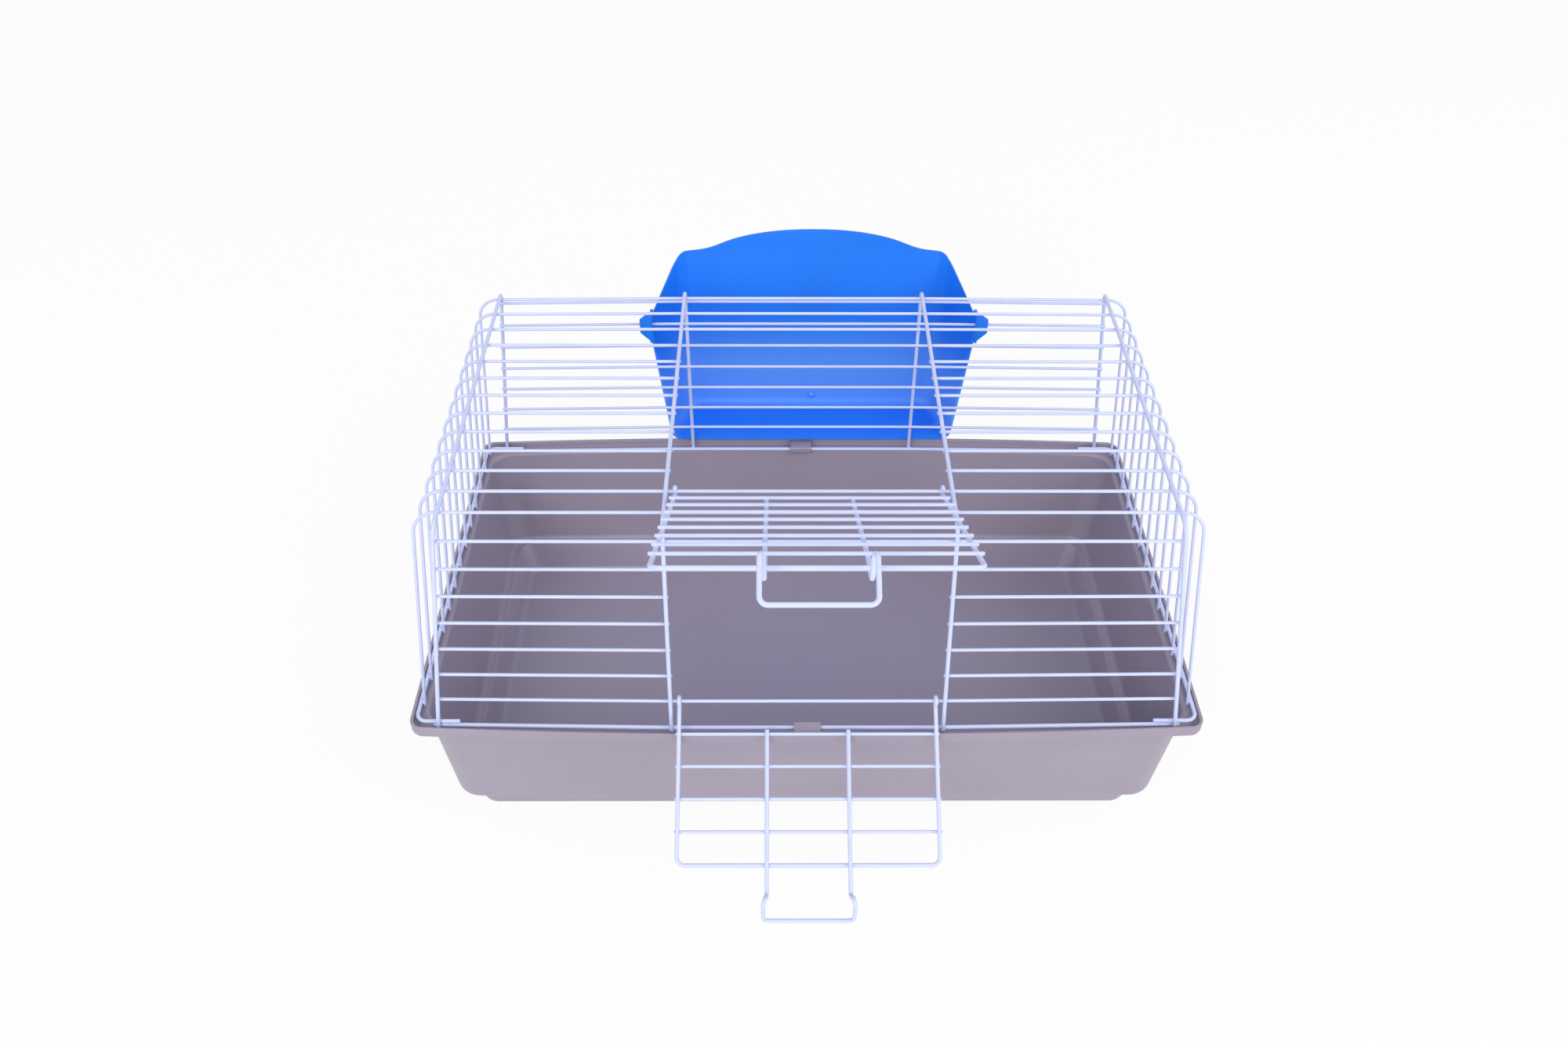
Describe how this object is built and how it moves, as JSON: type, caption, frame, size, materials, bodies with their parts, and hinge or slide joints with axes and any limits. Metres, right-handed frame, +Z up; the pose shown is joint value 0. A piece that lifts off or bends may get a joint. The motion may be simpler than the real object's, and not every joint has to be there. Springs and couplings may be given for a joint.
{
  "type": "rabbit cage",
  "caption": "Small-animal cage with a deep plastic tray, a welded wire top, hinged roof and front doors standing open, and a blue hay feeder hung on the back.",
  "frame": {"origin": "centre of the flat underside of the tray's foot", "axes": "+X to the right along the long side, seen from the front door; +Y to the back, where the feeder hangs; +Z up"},
  "size_m": [0.6044, 0.5439, 0.4157],
  "materials": {
    "tray_plastic": "satin",
    "coated_wire": "gloss",
    "feeder_plastic": "gloss"
  },
  "bodies": {
    "cage": {"tray": "tray_plastic", "front_base_rail": "coated_wire", "back_base_rail": "coated_wire", "left_base_rail": "coated_wire", "right_base_rail": "coated_wire", "outer_stringer_left": "coated_wire", "outer_stringer_right": "coated_wire", "inner_stringer_left": "coated_wire", "inner_stringer_right": "coated_wire", "roof_wires_back": "coated_wire", "roof_wire_hinge": "coated_wire", "roof_wire_front": "coated_wire", "roof_wires_left": "coated_wire", "roof_wires_right": "coated_wire", "front_wires_top": "coated_wire", "front_wire_hinge": "coated_wire", "front_wires_left": "coated_wire", "front_wires_right": "coated_wire", "back_wires": "coated_wire"},
    "top_door": {"top_door_frame": "coated_wire", "top_door_wires": "coated_wire", "top_door_latch": "coated_wire"},
    "front_door": {"front_door_frame": "coated_wire", "front_door_wires": "coated_wire", "front_door_latch": "coated_wire"},
    "feeder": {"hay_feeder": "feeder_plastic"}
  },
  "joints": [
    {"name": "top_door_hinge", "type": "hinge", "parent": "cage", "child": "top_door", "pos_m": [0, -0.09174, 0.3007], "axis": [-1, 0, 0], "range_deg": [0, 152]},
    {"name": "front_door_hinge", "type": "hinge", "parent": "cage", "child": "front_door", "pos_m": [0, -0.16521, 0.15632], "axis": [-1, 0, 0], "range_deg": [0, 135.6]},
    {"name": "feeder_lift", "type": "slide", "parent": "cage", "child": "feeder", "axis": [0, 0, 1], "range_m": [0, 0.01]}
  ]
}
